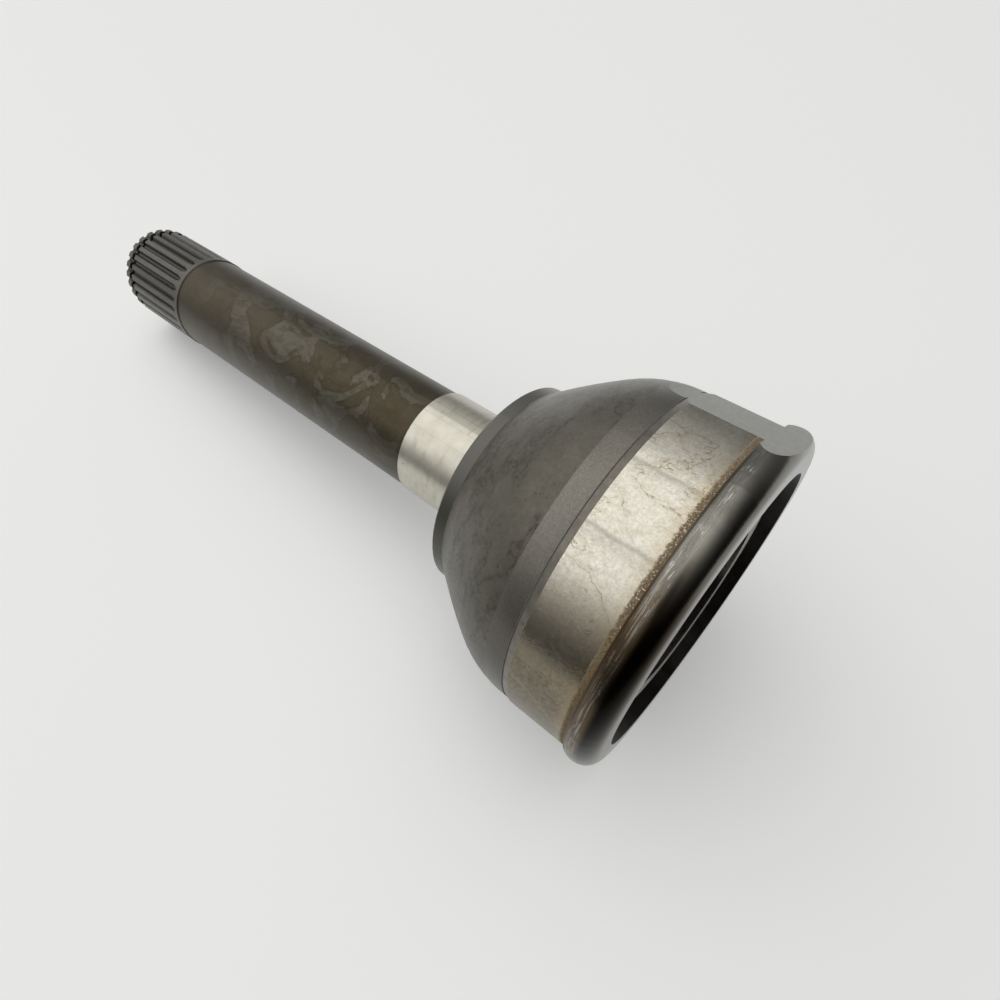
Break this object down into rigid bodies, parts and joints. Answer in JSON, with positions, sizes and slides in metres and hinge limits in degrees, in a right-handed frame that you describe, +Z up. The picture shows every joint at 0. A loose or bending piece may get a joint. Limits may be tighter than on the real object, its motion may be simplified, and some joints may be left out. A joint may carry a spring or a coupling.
{
  "type": "cv joint",
  "caption": "Fixed ball joint with stub axle: bell-shaped outer race on a splined shaft, with splined inner race, cage and balls inside the open bell.",
  "frame": {"origin": "centre of the bounding box on the surface that the joint lies on", "axes": "+X from the splined stub end towards the open mouth, level; +Z up; the shaft axis leans up towards the mouth in the XZ plane"},
  "size_m": [0.3206, 0.122, 0.1226],
  "materials": {
    "forged_steel": "phosphated and oiled, with bright ground journal and band",
    "race_steel": "ground",
    "cage_steel": "ground",
    "ball_steel": "polished"
  },
  "bodies": {
    "bell": {"outer_race_with_stub_axle": "forged_steel"},
    "race": {"inner_race": "race_steel"},
    "cage": {"ball_cage": "cage_steel"},
    "ball_1": {"ball_1": "ball_steel"},
    "ball_2": {"ball_2": "ball_steel"},
    "ball_3": {"ball_3": "ball_steel"},
    "ball_4": {"ball_4": "ball_steel"},
    "ball_5": {"ball_5": "ball_steel"},
    "ball_6": {"ball_6": "ball_steel"}
  },
  "joints": [
    {"name": "bend", "type": "hinge", "parent": "bell", "child": "race", "pos_m": [0.12734, 0, 0.05801], "axis": [-0.13, 0, 0.9915], "range_deg": [-42, 42]},
    {"name": "cage_swing", "type": "hinge", "parent": "bell", "child": "cage", "pos_m": [0.12734, 0, 0.05801], "axis": [-0.13, 0, 0.9915], "range_deg": [-21, 21]},
    {"name": "ball_1_roll", "type": "hinge", "parent": "bell", "child": "ball_1", "pos_m": [0.1318, 0, 0.0586], "axis": [-0.065, -0.866, 0.4958], "range_deg": [-10.82, 10.82]},
    {"name": "ball_2_roll", "type": "hinge", "parent": "bell", "child": "ball_2", "pos_m": [0.1318, 0, 0.0586], "axis": [-0.13, 0, 0.9915], "range_deg": [-21, 21]},
    {"name": "ball_3_roll", "type": "hinge", "parent": "bell", "child": "ball_3", "pos_m": [0.1318, 0, 0.0586], "axis": [-0.065, 0.866, 0.4958], "range_deg": [-10.82, 10.82]},
    {"name": "ball_4_roll", "type": "hinge", "parent": "bell", "child": "ball_4", "pos_m": [0.1318, 0, 0.0586], "axis": [0.065, 0.866, -0.4958], "range_deg": [-10.82, 10.82]},
    {"name": "ball_5_roll", "type": "hinge", "parent": "bell", "child": "ball_5", "pos_m": [0.1318, 0, 0.0586], "axis": [0.13, 0, -0.9915], "range_deg": [-21, 21]},
    {"name": "ball_6_roll", "type": "hinge", "parent": "bell", "child": "ball_6", "pos_m": [0.1318, 0, 0.0586], "axis": [0.065, -0.866, -0.4958], "range_deg": [-10.82, 10.82]}
  ],
  "couplings": [
    {"joint": "cage_swing", "follows": "bend", "ratio": 0.5},
    {"joint": "ball_1_roll", "follows": "bend", "ratio": 0.2576},
    {"joint": "ball_2_roll", "follows": "bend", "ratio": 0.5},
    {"joint": "ball_3_roll", "follows": "bend", "ratio": 0.2576},
    {"joint": "ball_4_roll", "follows": "bend", "ratio": -0.2576},
    {"joint": "ball_5_roll", "follows": "bend", "ratio": -0.5},
    {"joint": "ball_6_roll", "follows": "bend", "ratio": -0.2576}
  ]
}
